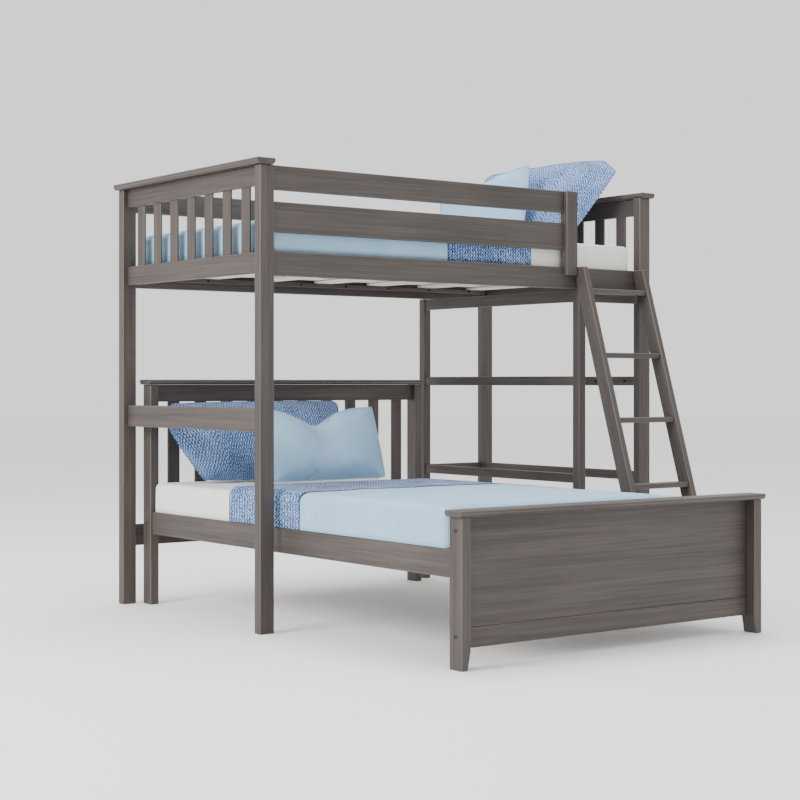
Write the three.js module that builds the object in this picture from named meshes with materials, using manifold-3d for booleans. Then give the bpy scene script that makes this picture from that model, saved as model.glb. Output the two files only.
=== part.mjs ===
// An L-shaped wooden bunk bed: a narrow upper bunk on tall posts, with a ladder at its front right,
// over a wider bed that stands crossways beneath its left part.
// Millimetres, +Z up. In the design frame x = 0 is the left face of the upper bunk's left posts,
// y = 0 is the front face of its front posts, and z = 0 is the floor.
// The exported group moves that frame so that the origin is under the middle of the whole bed.
import * as THREE from "three";
import { mergeVertices } from "three/addons/utils/BufferGeometryUtils.js";
import Module from "manifold-3d";

const wasm = await Module();
wasm.setup();

// ---- lumber -------------------------------------------------------------------------------
const POST_WIDE = 62.5; // post section along the bed's length
const POST_NARROW = 40; // post section across the bed
const BOARD = 20; // end rails, stretchers and braces
const GUARD_THICK = 19;
const SIDE_RAIL_THICK = 25;
const SLAT_THICK = 9; // upright slats of the end panels
const SLAT_WIDE = 57;
const SLAT_PITCH = 133;
const TENON = 12; // how far an upright slat goes into its rails
const GAP = 0.3; // clearance where two pieces touch
const EDGE = 3; // small chamfer on the moulded caps

// ---- upper bunk ---------------------------------------------------------------------------
const UPPER_LENGTH = 2048;
const UPPER_WIDTH = 1086;
const POST_TOP = 1738;
const CAP_THICK = 23;
const CAP_OUT = 20; // overhang of the upper caps past the end faces
const CAP_SIDE = 10; // overhang of the upper caps past the front and back faces
const END_TOP_RAIL = [1664, POST_TOP - GAP];
const END_LOW_RAIL = [1338, 1416];
const END_MID_RAIL = [746, 835];
const END_SLATS = 7;
const SIDE_RAIL = [1328, 1418];
const SIDE_SET_BACK = 8; // front face of rails and guards behind the front face of the posts
const TOP_GUARD = [1646, POST_TOP];
const LOW_GUARD = [1489, 1603];
const STILE_X = 1535; // left side of the guard stile
const STILE_FOOT = 1383;
const STILE_PROUD = 22; // stile in front of the guards
const BACK_STRETCHER = [243, 332];
const LEDGE = 20; // section of the ledge that carries the bed slats
const UPPER_SLATS_BASE = 1379;
const BED_SLAT_THICK = 12;
const BED_SLAT_WIDE = 95;
const BED_SLATS = 7; // on each bed
const SLATS_END_GAP = 12;
const SLATS_SIDE_GAP = 2;
const STRAP_WIDE = 30;
const STRAP_THICK = 2;

// ---- under frame: two extra posts and their rails ------------------------------------------
const UNDER_X = 1619; // left face of the extra posts
const UNDER_POST = 39;
const UNDER_POST_TOP = 1326;
const LOW_LEVEL = [501, 541];
const MID_LEVEL = [917, 957];
const TOP_LEVEL = [1274, 1324];
const UNDER_SET_BACK = 5;

// ---- ladder -------------------------------------------------------------------------------
const LADDER_X = 1600;
const LADDER_WIDTH = 381;
const STRINGER_THICK = 28;
const STRINGER_DEPTH = 65.3; // measured level, so a 62.5 mm board at the ladder's lean
const LEAN = 0.298; // how far the ladder comes forward for each millimetre down
const LADDER_BACK_AT_FLOOR = -403.5;
const LADDER_TOP = 1420;
const TREAD_TOPS = [240, 512, 784, 1055, 1328];
const TREAD_THICK = 22;
const TREAD_SET_BACK = 5;

// ---- lower bed ----------------------------------------------------------------------------
const LOWER_X = 90;
const LOWER_WIDTH = 1455;
const HEAD_Y = 973; // front face of the headboard posts
const FOOT_Y = -1041; // front face of the footboard posts
const HEAD_POST_TOP = 921;
const HEAD_CAP_THICK = 21;
const HEAD_TOP_RAIL = [849, HEAD_POST_TOP - GAP];
const HEAD_LOW_RAIL = [295, 389];
const HEAD_SLATS = 10;
const FOOT_POST_TOP = 496;
const FOOT_CAP_THICK = 21;
const FOOT_LOW_RAIL = [65, 132];
const FOOT_PANEL_THICK = 12;
const FOOT_BACK_INSET = 3; // footboard boards in front of the back face of the posts
const FOOT_TAPER = 12;
const LOWER_CAP_END = 12;
const LOWER_CAP_SIDE = 10;
const LOWER_RAIL = [295, 389];
const LOWER_RAIL_INSET = 7.5;
const LOWER_SLATS_BASE = 377;
const BEAM = [300, LOWER_SLATS_BASE - GAP];
const BEAM_WIDE = 45;

// ---- bedding ------------------------------------------------------------------------------
const UPPER_MATTRESS_TOP = 1528;
const UPPER_MATTRESS_X = [74, 1968];
const UPPER_MATTRESS_Y = [42, 1044];
const LOWER_MATTRESS_TOP = 510;
const LOWER_MATTRESS_X = [99, 1536];
const LOWER_MATTRESS_Y = [-957, 964];
const COVER_THICK = 8; // blanket and throw where they hang
const COVER_LOFT = 20; // blanket and throw where they lie flat
const HEM_GAP = 6; // covers end this far above the side rails
const UPPER_BAND = [925, 1378]; // throw, along the upper bunk
const LOWER_BAND = [-120, 364]; // throw, along the lower bed

const WHOLE_X = [-CAP_OUT, UPPER_LENGTH + CAP_OUT];
const WHOLE_Y = [FOOT_Y - LOWER_CAP_SIDE, UPPER_WIDTH + CAP_SIDE];

// ---- materials ----------------------------------------------------------------------------
const finish = (color, roughness) => () =>
  new THREE.MeshStandardMaterial({ color, roughness, metalness: 0 });
const stainedWood = finish(0x69625c, 0.6);
const paleWood = finish(0xcbb79c, 0.75);
const mattressCloth = finish(0xe4e1dc, 0.9);
const blueCloth = finish(0xb4cad8, 0.9);
const denimCloth = finish(0x6f93c0, 0.95);

// ---- making pieces ------------------------------------------------------------------------
const bed = new THREE.Group();
bed.position.set(-(WHOLE_X[0] + WHOLE_X[1]) / 2, -(WHOLE_Y[0] + WHOLE_Y[1]) / 2, 0);

function add(name, geometry, material, position = [0, 0, 0]) {
  const mesh = new THREE.Mesh(geometry, material());
  mesh.name = name;
  mesh.position.set(...position);
  bed.add(mesh);
  return mesh;
}

// A board between two corners.
function boardGeometry([x0, x1], [y0, y1], [z0, z1]) {
  const geometry = new THREE.BoxGeometry(x1 - x0, y1 - y0, z1 - z0);
  return geometry.translate((x0 + x1) / 2, (y0 + y1) / 2, (z0 + z1) / 2);
}

function board(name, x, y, z, material = stainedWood) {
  return add(name, boardGeometry(x, y, z), material);
}

// An outline swept along X (points are [y, z]) or along Y (points are [x, z]).
function sweepX(points, [x0, x1]) {
  const shape = new THREE.Shape(points.map(([y, z]) => new THREE.Vector2(y, z)));
  const geometry = new THREE.ExtrudeGeometry(shape, { depth: x1 - x0, bevelEnabled: false });
  const axes = new THREE.Matrix4().makeBasis(
    new THREE.Vector3(0, 1, 0),
    new THREE.Vector3(0, 0, 1),
    new THREE.Vector3(1, 0, 0),
  );
  return geometry.applyMatrix4(axes).translate(x0, 0, 0);
}

function sweepY(points, [y0, y1]) {
  const shape = new THREE.Shape(points.map(([x, z]) => new THREE.Vector2(-x, z)));
  const geometry = new THREE.ExtrudeGeometry(shape, { depth: y1 - y0, bevelEnabled: false });
  const axes = new THREE.Matrix4().makeBasis(
    new THREE.Vector3(-1, 0, 0),
    new THREE.Vector3(0, 0, 1),
    new THREE.Vector3(0, 1, 0),
  );
  return geometry.applyMatrix4(axes).translate(0, y0, 0);
}

function toSolid(geometry) {
  const bare = new THREE.BufferGeometry();
  bare.setAttribute("position", geometry.getAttribute("position").clone());
  bare.setIndex(geometry.index);
  const merged = mergeVertices(bare, 1e-3);
  const mesh = new wasm.Mesh({
    numProp: 3,
    vertProperties: new Float32Array(merged.attributes.position.array),
    triVerts: new Uint32Array(merged.index.array),
  });
  return new wasm.Manifold(mesh);
}

function toGeometry(solid) {
  const mesh = solid.getMesh();
  const geometry = new THREE.BufferGeometry();
  geometry.setAttribute("position", new THREE.BufferAttribute(new Float32Array(mesh.vertProperties), 3));
  geometry.setIndex(new THREE.BufferAttribute(new Uint32Array(mesh.triVerts), 1));
  geometry.computeVertexNormals();
  return geometry;
}

// Glues geometries that reach into each other into one piece.
function join(geometries) {
  return toGeometry(geometries.map(toSolid).reduce((whole, next) => whole.add(next)));
}

const cut = (body, tool) => toGeometry(toSolid(body).subtract(toSolid(tool)));

const centred = (middle, size) => [middle - size / 2, middle + size / 2];
const inset = ([low, high], by) => [low + by, high - by];

// Section of a moulded cap: eased top edges and an underside that slopes in towards the post.
function capSection([low, high], base, thick) {
  const slope = thick * 0.45;
  return [
    [low + slope * 0.8, base],
    [high - slope * 0.8, base],
    [high, base + slope],
    [high, base + thick - EDGE],
    [high - EDGE, base + thick],
    [low + EDGE, base + thick],
    [low, base + thick - EDGE],
    [low, base + slope],
  ];
}

// Middles of a row of upright slats, centred between two posts.
function slatMiddles([low, high], count) {
  const first = (low + high) / 2 - ((count - 1) * SLAT_PITCH) / 2;
  return Array.from({ length: count }, (_, i) => first + i * SLAT_PITCH);
}

// A panel of two rails joined by upright slats; along and across are its ranges in plan.
function slattedPanel(along, acrossMiddle, topRail, lowRail, slatCount, place) {
  const rail = centred(acrossMiddle, BOARD);
  const slat = centred(acrossMiddle, SLAT_THICK);
  const slatHeight = [lowRail[1] - TENON, topRail[0] + TENON];
  const slats = slatMiddles(along, slatCount).map((middle) => {
    return place(centred(middle, SLAT_WIDE), slat, slatHeight);
  });
  return join([place(along, rail, topRail), place(along, rail, lowRail), ...slats]);
}

// ---- upper bunk ---------------------------------------------------------------------------
const leftPosts = [0, POST_WIDE];
const rightPosts = [UPPER_LENGTH - POST_WIDE, UPPER_LENGTH];
const frontPosts = [0, POST_NARROW];
const backPosts = [UPPER_WIDTH - POST_NARROW, UPPER_WIDTH];
const betweenEnds = inset([leftPosts[1], rightPosts[0]], GAP);
const betweenSides = inset([frontPosts[1], backPosts[0]], GAP);
const frontPlane = (thick) => [SIDE_SET_BACK, SIDE_SET_BACK + thick];
const backPlane = (thick) => [UPPER_WIDTH - SIDE_SET_BACK - thick, UPPER_WIDTH - SIDE_SET_BACK];

function bunkPosts() {
  const ends = { left: leftPosts, right: rightPosts };
  const sides = { front: frontPosts, back: backPosts };
  for (const [end, x] of Object.entries(ends)) {
    for (const [side, y] of Object.entries(sides)) {
      board(`bunk_post_${side}_${end}`, x, y, [0, POST_TOP]);
    }
  }
}

function bunkEnds() {
  const placeAlongY = (y, x, z) => boardGeometry(x, y, z);
  const ends = { left: leftPosts, right: rightPosts };
  for (const [end, posts] of Object.entries(ends)) {
    const middle = (posts[0] + posts[1]) / 2;
    const panel = slattedPanel(betweenSides, middle, END_TOP_RAIL, END_LOW_RAIL, END_SLATS, placeAlongY);
    add(`bunk_end_panel_${end}`, panel, stainedWood);
  }
  const capLeft = [-CAP_OUT, POST_WIDE];
  const capRight = [UPPER_LENGTH - POST_WIDE, UPPER_LENGTH + CAP_OUT];
  const capLength = [-CAP_SIDE, UPPER_WIDTH + CAP_SIDE];
  const capBase = POST_TOP + GAP;
  add("bunk_cap_left", sweepY(capSection(capLeft, capBase, CAP_THICK), capLength), stainedWood);
  add("bunk_cap_right", sweepY(capSection(capRight, capBase, CAP_THICK), capLength), stainedWood);
  board("bunk_end_brace_left", centred(POST_WIDE / 2, BOARD), betweenSides, END_MID_RAIL);
}

// A side rail with the ledge for the bed slats along its inner face.
function ledgedRail([outer, inner], height, ledgeTop) {
  const inward = Math.sign(inner - outer);
  const ledgeFace = inner + inward * LEDGE;
  const points = [
    [outer, height[0]],
    [inner, height[0]],
    [inner, ledgeTop - LEDGE],
    [ledgeFace, ledgeTop - LEDGE],
    [ledgeFace, ledgeTop],
    [inner, ledgeTop],
    [inner, height[1]],
    [outer, height[1]],
  ];
  return inward > 0 ? points : points.reverse();
}

function bunkSideRails() {
  const ledgeTop = UPPER_SLATS_BASE - GAP;
  const [front0, front1] = frontPlane(SIDE_RAIL_THICK);
  const [back0, back1] = backPlane(SIDE_RAIL_THICK);
  const frontRail = ledgedRail([front0, front1], SIDE_RAIL, ledgeTop);
  const backRail = ledgedRail([back1, back0], SIDE_RAIL, ledgeTop);
  add("bunk_side_rail_front", sweepX(frontRail, betweenEnds), stainedWood);
  add("bunk_side_rail_back", sweepX(backRail, betweenEnds), stainedWood);
}

// The stile is as deep as a post: its front runs past the guards and the side rail, and its back
// fills the spaces between them.
function guardStile() {
  const face = SIDE_SET_BACK - STILE_PROUD;
  const seat = SIDE_SET_BACK - GAP;
  const back = SIDE_SET_BACK + GUARD_THICK;
  const teeth = [
    [SIDE_RAIL[1] + GAP, LOW_GUARD[0] - GAP],
    [LOW_GUARD[1] + GAP, TOP_GUARD[0] - GAP],
  ];
  const outline = [
    [face, STILE_FOOT],
    [seat, STILE_FOOT],
    ...teeth.flatMap(([low, high]) => [[seat, low], [back, low], [back, high], [seat, high]]),
    [seat, POST_TOP],
    [face, POST_TOP],
  ];
  return sweepX(outline, [STILE_X, STILE_X + POST_WIDE]);
}

function bunkGuards() {
  const frontRun = [betweenEnds[0], STILE_X + POST_WIDE];
  board("guard_rail_front_top", frontRun, frontPlane(GUARD_THICK), TOP_GUARD);
  board("guard_rail_front_low", frontRun, frontPlane(GUARD_THICK), LOW_GUARD);
  add("guard_stile", guardStile(), stainedWood);
  board("guard_rail_back", betweenEnds, backPlane(GUARD_THICK), TOP_GUARD);
  board("back_stretcher", [betweenEnds[0], UNDER_X - GAP], backPlane(BOARD), BACK_STRETCHER);
}

// Bed slats across a bed, held at their spacing by two webbing straps underneath their ends.
function slatRoll(run, across, base, place) {
  const pitch = (run[1] - run[0] - BED_SLAT_WIDE) / (BED_SLATS - 1);
  const height = [base, base + BED_SLAT_THICK];
  const slats = Array.from({ length: BED_SLATS }, (_, i) => {
    const start = run[0] + i * pitch;
    return place([start, start + BED_SLAT_WIDE], across, height);
  });
  const strapHeight = [height[1] - STRAP_THICK, height[1]];
  const straps = [0.18, 0.82].map((share) => {
    const middle = across[0] + share * (across[1] - across[0]);
    return place(run, centred(middle, STRAP_WIDE), strapHeight);
  });
  return join([...slats, ...straps]);
}

function bunkSlats() {
  const across = inset([frontPlane(SIDE_RAIL_THICK)[1], backPlane(SIDE_RAIL_THICK)[0]], SLATS_SIDE_GAP);
  const run = inset([POST_WIDE, UPPER_LENGTH - POST_WIDE], SLATS_END_GAP);
  add("bed_slats_upper", slatRoll(run, across, UPPER_SLATS_BASE, boardGeometry), paleWood);
}

// ---- under frame --------------------------------------------------------------------------
function underFrame() {
  const postX = [UNDER_X, UNDER_X + UNDER_POST];
  board("under_post_front", postX, frontPosts, [0, UNDER_POST_TOP]);
  board("under_post_back", postX, backPosts, [0, UNDER_POST_TOP]);
  const leftPlane = [UNDER_X + UNDER_SET_BACK, UNDER_X + UNDER_SET_BACK + BOARD];
  const rightPlane = [rightPosts[0] + UNDER_SET_BACK, rightPosts[0] + UNDER_SET_BACK + BOARD];
  const crossRun = inset([postX[1], rightPosts[0]], GAP);
  const levels = { low: LOW_LEVEL, mid: MID_LEVEL };
  for (const [level, height] of Object.entries(levels)) {
    board(`under_rail_left_${level}`, leftPlane, betweenSides, height);
    board(`under_rail_right_${level}`, rightPlane, betweenSides, height);
    board(`under_rail_back_${level}`, crossRun, backPlane(BOARD), height);
  }
  board("under_rail_left_top", leftPlane, betweenSides, TOP_LEVEL);
  board("under_rail_front_top", crossRun, frontPlane(BOARD), TOP_LEVEL);
}

// ---- ladder -------------------------------------------------------------------------------
const ladderBack = (z) => LADDER_BACK_AT_FLOOR + LEAN * z;

// A stringer: level at the foot and the head, and cut upright where it lies on the side rail.
function stringerOutline() {
  const seat = SIDE_SET_BACK - GAP;
  const seatHeight = (seat - LADDER_BACK_AT_FLOOR) / LEAN;
  return [
    [ladderBack(0) - STRINGER_DEPTH, 0],
    [ladderBack(0), 0],
    [seat, seatHeight],
    [seat, LADDER_TOP],
    [ladderBack(LADDER_TOP) - STRINGER_DEPTH, LADDER_TOP],
  ];
}

function ladder() {
  const right = LADDER_X + LADDER_WIDTH;
  const leftStringer = [LADDER_X, LADDER_X + STRINGER_THICK];
  const rightStringer = [right - STRINGER_THICK, right];
  add("ladder_stringer_left", sweepX(stringerOutline(), leftStringer), stainedWood);
  add("ladder_stringer_right", sweepX(stringerOutline(), rightStringer), stainedWood);
  const treadRun = inset([leftStringer[1], rightStringer[0]], GAP);
  TREAD_TOPS.forEach((top, i) => {
    const front = ladderBack(top) - STRINGER_DEPTH + TREAD_SET_BACK;
    const depth = [front, front + STRINGER_DEPTH - 2 * TREAD_SET_BACK];
    board(`ladder_tread_${i + 1}`, treadRun, depth, [top - TREAD_THICK, top]);
  });
}

// ---- lower bed ----------------------------------------------------------------------------
const lowerLeft = [LOWER_X, LOWER_X + POST_NARROW];
const lowerRight = [LOWER_X + LOWER_WIDTH - POST_NARROW, LOWER_X + LOWER_WIDTH];
const headPosts = [HEAD_Y, HEAD_Y + POST_WIDE];
const footPosts = [FOOT_Y, FOOT_Y + POST_WIDE];
const betweenLowerPosts = inset([lowerLeft[1], lowerRight[0]], GAP);
const lowerRun = inset([footPosts[1], headPosts[0]], GAP);

function headboard() {
  board("headboard_post_left", lowerLeft, headPosts, [0, HEAD_POST_TOP]);
  board("headboard_post_right", lowerRight, headPosts, [0, HEAD_POST_TOP]);
  const middle = (headPosts[0] + headPosts[1]) / 2;
  const rails = [HEAD_TOP_RAIL, HEAD_LOW_RAIL];
  const panel = slattedPanel(betweenLowerPosts, middle, ...rails, HEAD_SLATS, boardGeometry);
  add("headboard_panel", panel, stainedWood);
  const capDepth = [headPosts[0] - LOWER_CAP_SIDE, headPosts[1] + LOWER_CAP_SIDE];
  const capShape = capSection(capDepth, HEAD_POST_TOP + GAP, HEAD_CAP_THICK);
  add("headboard_cap", sweepX(capShape, lowerCapRun()), stainedWood);
}

function lowerCapRun() {
  return [LOWER_X - LOWER_CAP_END, LOWER_X + LOWER_WIDTH + LOWER_CAP_END];
}

// A footboard post: its foot tapers on the side that faces the other post.
function footPostOutline([x0, x1], taperSide) {
  const inner = taperSide > 0 ? x1 : x0;
  const outer = taperSide > 0 ? x0 : x1;
  const points = [
    [outer, 0],
    [inner - taperSide * FOOT_TAPER, 0],
    [inner, FOOT_LOW_RAIL[0]],
    [inner, FOOT_POST_TOP],
    [outer, FOOT_POST_TOP],
  ];
  return taperSide > 0 ? points : points.reverse();
}

function footboard() {
  add("footboard_post_left", sweepY(footPostOutline(lowerLeft, 1), footPosts), stainedWood);
  add("footboard_post_right", sweepY(footPostOutline(lowerRight, -1), footPosts), stainedWood);
  const back = footPosts[1] - FOOT_BACK_INSET;
  board("footboard_low_rail", betweenLowerPosts, [back - BOARD, back], FOOT_LOW_RAIL);
  const panelHeight = [FOOT_LOW_RAIL[1] + GAP, FOOT_POST_TOP - GAP];
  board("footboard_panel", betweenLowerPosts, centred(back - BOARD / 2, FOOT_PANEL_THICK), panelHeight);
  const capDepth = [footPosts[0] - LOWER_CAP_SIDE, footPosts[1] + LOWER_CAP_SIDE];
  const capShape = capSection(capDepth, FOOT_POST_TOP + GAP, FOOT_CAP_THICK);
  add("footboard_cap", sweepX(capShape, lowerCapRun()), stainedWood);
}

function lowerBase() {
  const ledgeTop = LOWER_SLATS_BASE - GAP;
  const leftOuter = LOWER_X + LOWER_RAIL_INSET;
  const rightOuter = LOWER_X + LOWER_WIDTH - LOWER_RAIL_INSET;
  const leftRail = ledgedRail([leftOuter, leftOuter + SIDE_RAIL_THICK], LOWER_RAIL, ledgeTop);
  const rightRail = ledgedRail([rightOuter, rightOuter - SIDE_RAIL_THICK], LOWER_RAIL, ledgeTop);
  add("lower_side_rail_left", sweepY(leftRail, lowerRun), stainedWood);
  add("lower_side_rail_right", sweepY(rightRail, lowerRun), stainedWood);
  const middle = LOWER_X + LOWER_WIDTH / 2;
  const beamRun = [footPosts[1] - FOOT_BACK_INSET + GAP, (headPosts[0] + headPosts[1] - BOARD) / 2 - GAP];
  board("centre_beam", centred(middle, BEAM_WIDE), beamRun, BEAM);
  const across = inset([leftOuter, rightOuter], SIDE_RAIL_THICK + SLATS_SIDE_GAP);
  const placeAlongY = (y, x, z) => boardGeometry(x, y, z);
  const run = inset(lowerRun, SLATS_END_GAP);
  add("bed_slats_lower", slatRoll(run, across, LOWER_SLATS_BASE, placeAlongY), paleWood);
}

// ---- bedding ------------------------------------------------------------------------------
function mattress(name, x, y, [z0, z1]) {
  board(name, x, y, [z0 + GAP, z1], mattressCloth);
}

// A cover that lies on a mattress and hangs down its sides to the rails. Along the axis named, it
// is open at the ends marked true: its head end, or both ends of a throw.
function cover(name, along, { x, y }, top, hem, material, [openLow, openHigh]) {
  const ranges = { x: [...x], y: [...y] };
  const outer = { x: [x[0] - COVER_THICK, x[1] + COVER_THICK], y: [y[0] - COVER_THICK, y[1] + COVER_THICK] };
  const inner = { x: [x[0] - GAP, x[1] + GAP], y: [y[0] - GAP, y[1] + GAP] };
  if (openLow) {
    outer[along][0] = ranges[along][0];
    inner[along][0] = ranges[along][0] - COVER_THICK;
  }
  if (openHigh) {
    outer[along][1] = ranges[along][1];
    inner[along][1] = ranges[along][1] + COVER_THICK;
  }
  const body = boardGeometry(outer.x, outer.y, [hem, top + COVER_LOFT]);
  const hollow = boardGeometry(inner.x, inner.y, [hem - COVER_THICK, top + GAP]);
  add(name, cut(body, hollow), material);
}

// A pillow lying flat: thick in the middle, thin at its edges, with corners that stand out.
const PILLOW_STEPS = [14, 10];
const PILLOW_SEAM = 5;
const PILLOW_WAIST = 0.07;

function pillowGeometry(width, height, thickness) {
  const [columns, rows] = PILLOW_STEPS;
  const positions = [];
  const index = [];
  const point = (i, j, side) => {
    const a = (2 * i) / columns - 1;
    const b = (2 * j) / rows - 1;
    const rise = Math.pow((1 - a ** 4) * (1 - b ** 4), 0.6);
    const x = (width / 2) * a * (1 - PILLOW_WAIST * (1 - b * b) * Math.abs(a));
    const y = (height / 2) * b * (1 - PILLOW_WAIST * (1 - a * a) * Math.abs(b));
    return [x, y, side * (PILLOW_SEAM + (thickness / 2 - PILLOW_SEAM) * rise)];
  };
  const at = (i, j, side) => (side > 0 ? 0 : (columns + 1) * (rows + 1)) + i * (rows + 1) + j;
  for (const side of [1, -1]) {
    for (let i = 0; i <= columns; i++) {
      for (let j = 0; j <= rows; j++) positions.push(...point(i, j, side));
    }
  }
  const quad = (a, b, c, d) => index.push(a, b, c, a, c, d);
  for (let i = 0; i < columns; i++) {
    for (let j = 0; j < rows; j++) {
      quad(at(i, j, 1), at(i + 1, j, 1), at(i + 1, j + 1, 1), at(i, j + 1, 1));
      quad(at(i, j, -1), at(i, j + 1, -1), at(i + 1, j + 1, -1), at(i + 1, j, -1));
    }
    quad(at(i, 0, -1), at(i + 1, 0, -1), at(i + 1, 0, 1), at(i, 0, 1));
    quad(at(i, rows, 1), at(i + 1, rows, 1), at(i + 1, rows, -1), at(i, rows, -1));
  }
  for (let j = 0; j < rows; j++) {
    quad(at(0, j, 1), at(0, j + 1, 1), at(0, j + 1, -1), at(0, j, -1));
    quad(at(columns, j, -1), at(columns, j + 1, -1), at(columns, j + 1, 1), at(columns, j, 1));
  }
  const geometry = new THREE.BufferGeometry();
  geometry.setAttribute("position", new THREE.Float32BufferAttribute(positions, 3));
  geometry.setIndex(index);
  geometry.computeVertexNormals();
  return geometry;
}

// Stands a pillow on its long edge: foot is the middle of that edge, back is how far it leans back
// from upright, and turn is the heading of the way that it leans.
function pillow(name, [width, height, thickness], foot, backDegrees, turnDegrees, material) {
  const geometry = pillowGeometry(width, height, thickness);
  geometry.translate(0, height / 2, 0);
  geometry.rotateX(THREE.MathUtils.degToRad(90 - backDegrees));
  geometry.rotateZ(THREE.MathUtils.degToRad(turnDegrees));
  return add(name, geometry, material, foot);
}

function bedding() {
  const upperFloor = UPPER_SLATS_BASE + BED_SLAT_THICK;
  const upperTop = UPPER_MATTRESS_TOP;
  mattress("mattress_upper", UPPER_MATTRESS_X, UPPER_MATTRESS_Y, [upperFloor, upperTop]);
  const upperHem = SIDE_RAIL[1] + HEM_GAP;
  const upperBlanket = { x: [UPPER_MATTRESS_X[0], UPPER_BAND[0] - GAP], y: UPPER_MATTRESS_Y };
  const upperThrow = { x: UPPER_BAND, y: UPPER_MATTRESS_Y };
  cover("blanket_upper", "x", upperBlanket, upperTop, upperHem, blueCloth, [false, true]);
  cover("throw_upper", "x", upperThrow, upperTop, upperHem, denimCloth, [true, true]);

  const lowerFloor = LOWER_RAIL[1] + GAP;
  const lowerTop = LOWER_MATTRESS_TOP;
  mattress("mattress_lower", LOWER_MATTRESS_X, LOWER_MATTRESS_Y, [lowerFloor, lowerTop]);
  const lowerHem = LOWER_RAIL[1] + HEM_GAP;
  const lowerBlanket = { x: LOWER_MATTRESS_X, y: [LOWER_MATTRESS_Y[0], LOWER_BAND[0] - GAP] };
  const lowerThrow = { x: LOWER_MATTRESS_X, y: LOWER_BAND };
  cover("blanket_lower", "y", lowerBlanket, lowerTop, lowerHem, blueCloth, [false, true]);
  cover("throw_lower", "y", lowerThrow, lowerTop, lowerHem, denimCloth, [true, true]);
}

function pillows() {
  const onUpper = UPPER_MATTRESS_TOP;
  const onThrow = LOWER_MATTRESS_TOP + COVER_LOFT;
  pillow("pillow_denim_upper", [920, 430, 150], [1784, 522, onUpper + 12], 24, -90, denimCloth);
  pillow("pillow_blue_upper", [560, 370, 100], [1646, 702, onUpper + 8], 9, -86, blueCloth);
  pillow("pillow_denim_lower", [920, 360, 140], [568, 778, LOWER_MATTRESS_TOP + 12], 26, 0, denimCloth);
  pillow("pillow_blue_lower", [560, 305, 110], [600, 390, onThrow + 4], 18, 0, blueCloth);
}

bunkPosts();
bunkEnds();
bunkSideRails();
bunkGuards();
bunkSlats();
underFrame();
ladder();
headboard();
footboard();
lowerBase();
bedding();
pillows();

export default bed;
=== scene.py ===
import math
import random

import bmesh
import bpy
import numpy as np
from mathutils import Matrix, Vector, noise


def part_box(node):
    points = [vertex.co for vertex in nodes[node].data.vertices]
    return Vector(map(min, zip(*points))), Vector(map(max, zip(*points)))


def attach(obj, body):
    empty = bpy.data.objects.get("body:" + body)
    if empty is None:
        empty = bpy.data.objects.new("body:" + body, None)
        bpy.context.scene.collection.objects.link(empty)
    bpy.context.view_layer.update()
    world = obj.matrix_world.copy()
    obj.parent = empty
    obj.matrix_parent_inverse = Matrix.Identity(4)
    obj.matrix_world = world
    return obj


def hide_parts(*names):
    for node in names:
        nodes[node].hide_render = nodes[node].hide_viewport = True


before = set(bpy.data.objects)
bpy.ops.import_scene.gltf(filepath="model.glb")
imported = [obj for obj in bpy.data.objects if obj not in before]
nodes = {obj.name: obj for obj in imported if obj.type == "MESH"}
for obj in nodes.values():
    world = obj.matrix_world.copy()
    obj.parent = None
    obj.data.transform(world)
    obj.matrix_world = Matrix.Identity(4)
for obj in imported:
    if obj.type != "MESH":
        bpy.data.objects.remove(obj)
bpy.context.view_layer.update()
scene = bpy.context.scene

X = Vector((1, 0, 0))
Y = Vector((0, 1, 0))
Z = Vector((0, 0, 1))

# ---- sizes, in metres -----------------------------------------------------------------------
EDGE_ROUND = 0.0035  # rounding of the frame's edges
SLAT_ROUND = 0.002
SHARP_ANGLE = 0.4  # radians; blunter edges are not rounded
PANEL_TOP_RAIL = 0.0737  # heights of the rails in the slatted end panels
PANEL_LOW_RAIL = 0.078
HEAD_TOP_RAIL = 0.0717
HEAD_LOW_RAIL = 0.094
SLAT_THICK = 0.009
SLAT_WIDE = 0.057
SLAT_PITCH = 0.133
TENON = 0.012
BED_SLAT_WIDE = 0.095
BED_SLATS = 7
STRAP_WIDE = 0.030
STRAP_THICK = 0.002
STRAP_PLACES = (0.18, 0.82)

LEDGE = 0.020  # ledges under the bed slats, square in section

MATTRESS_ROUND = 0.024
MATTRESS_LEAN = 0.003
MATTRESS_UNEVEN = 0.0015
MATTRESS_WAVES = (0.16, 0.16, 0.05)  # lengths of the unevenness along x, y and z
TAPE_DROP = 0.009  # taped edge of a mattress, this far below its top
TAPE_RADIUS = 0.0025
CLOTH_STEP = 0.022
COVER_THICK = 0.005
COVER_CLEAR = 0.0015
COVER_ROUND = 0.030
COVER_WAVES = (0.22, 0.3, 0.12)
CORNER_SAVES = 0.43  # cloth that a round corner saves against a sharp one, in radii
HEM_ROLL = 0.020  # width of the round edge at the open ends of a cover
HEM_TUCK = 0.0045
PIPING_RADIUS = 0.0035
DENIM_TWILL = 460.0  # radians of the twill per metre
DENIM_DIRECTIONS = ((1, 0.75, 1), (1, 0.75, -1), (1, -0.75, 0))
SHOULDER_AT = 0.036  # the lower bed slopes down to its right from here
SHOULDER_SLOPE = 0.10
SHOULDER_SOFT = 0.060

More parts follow.
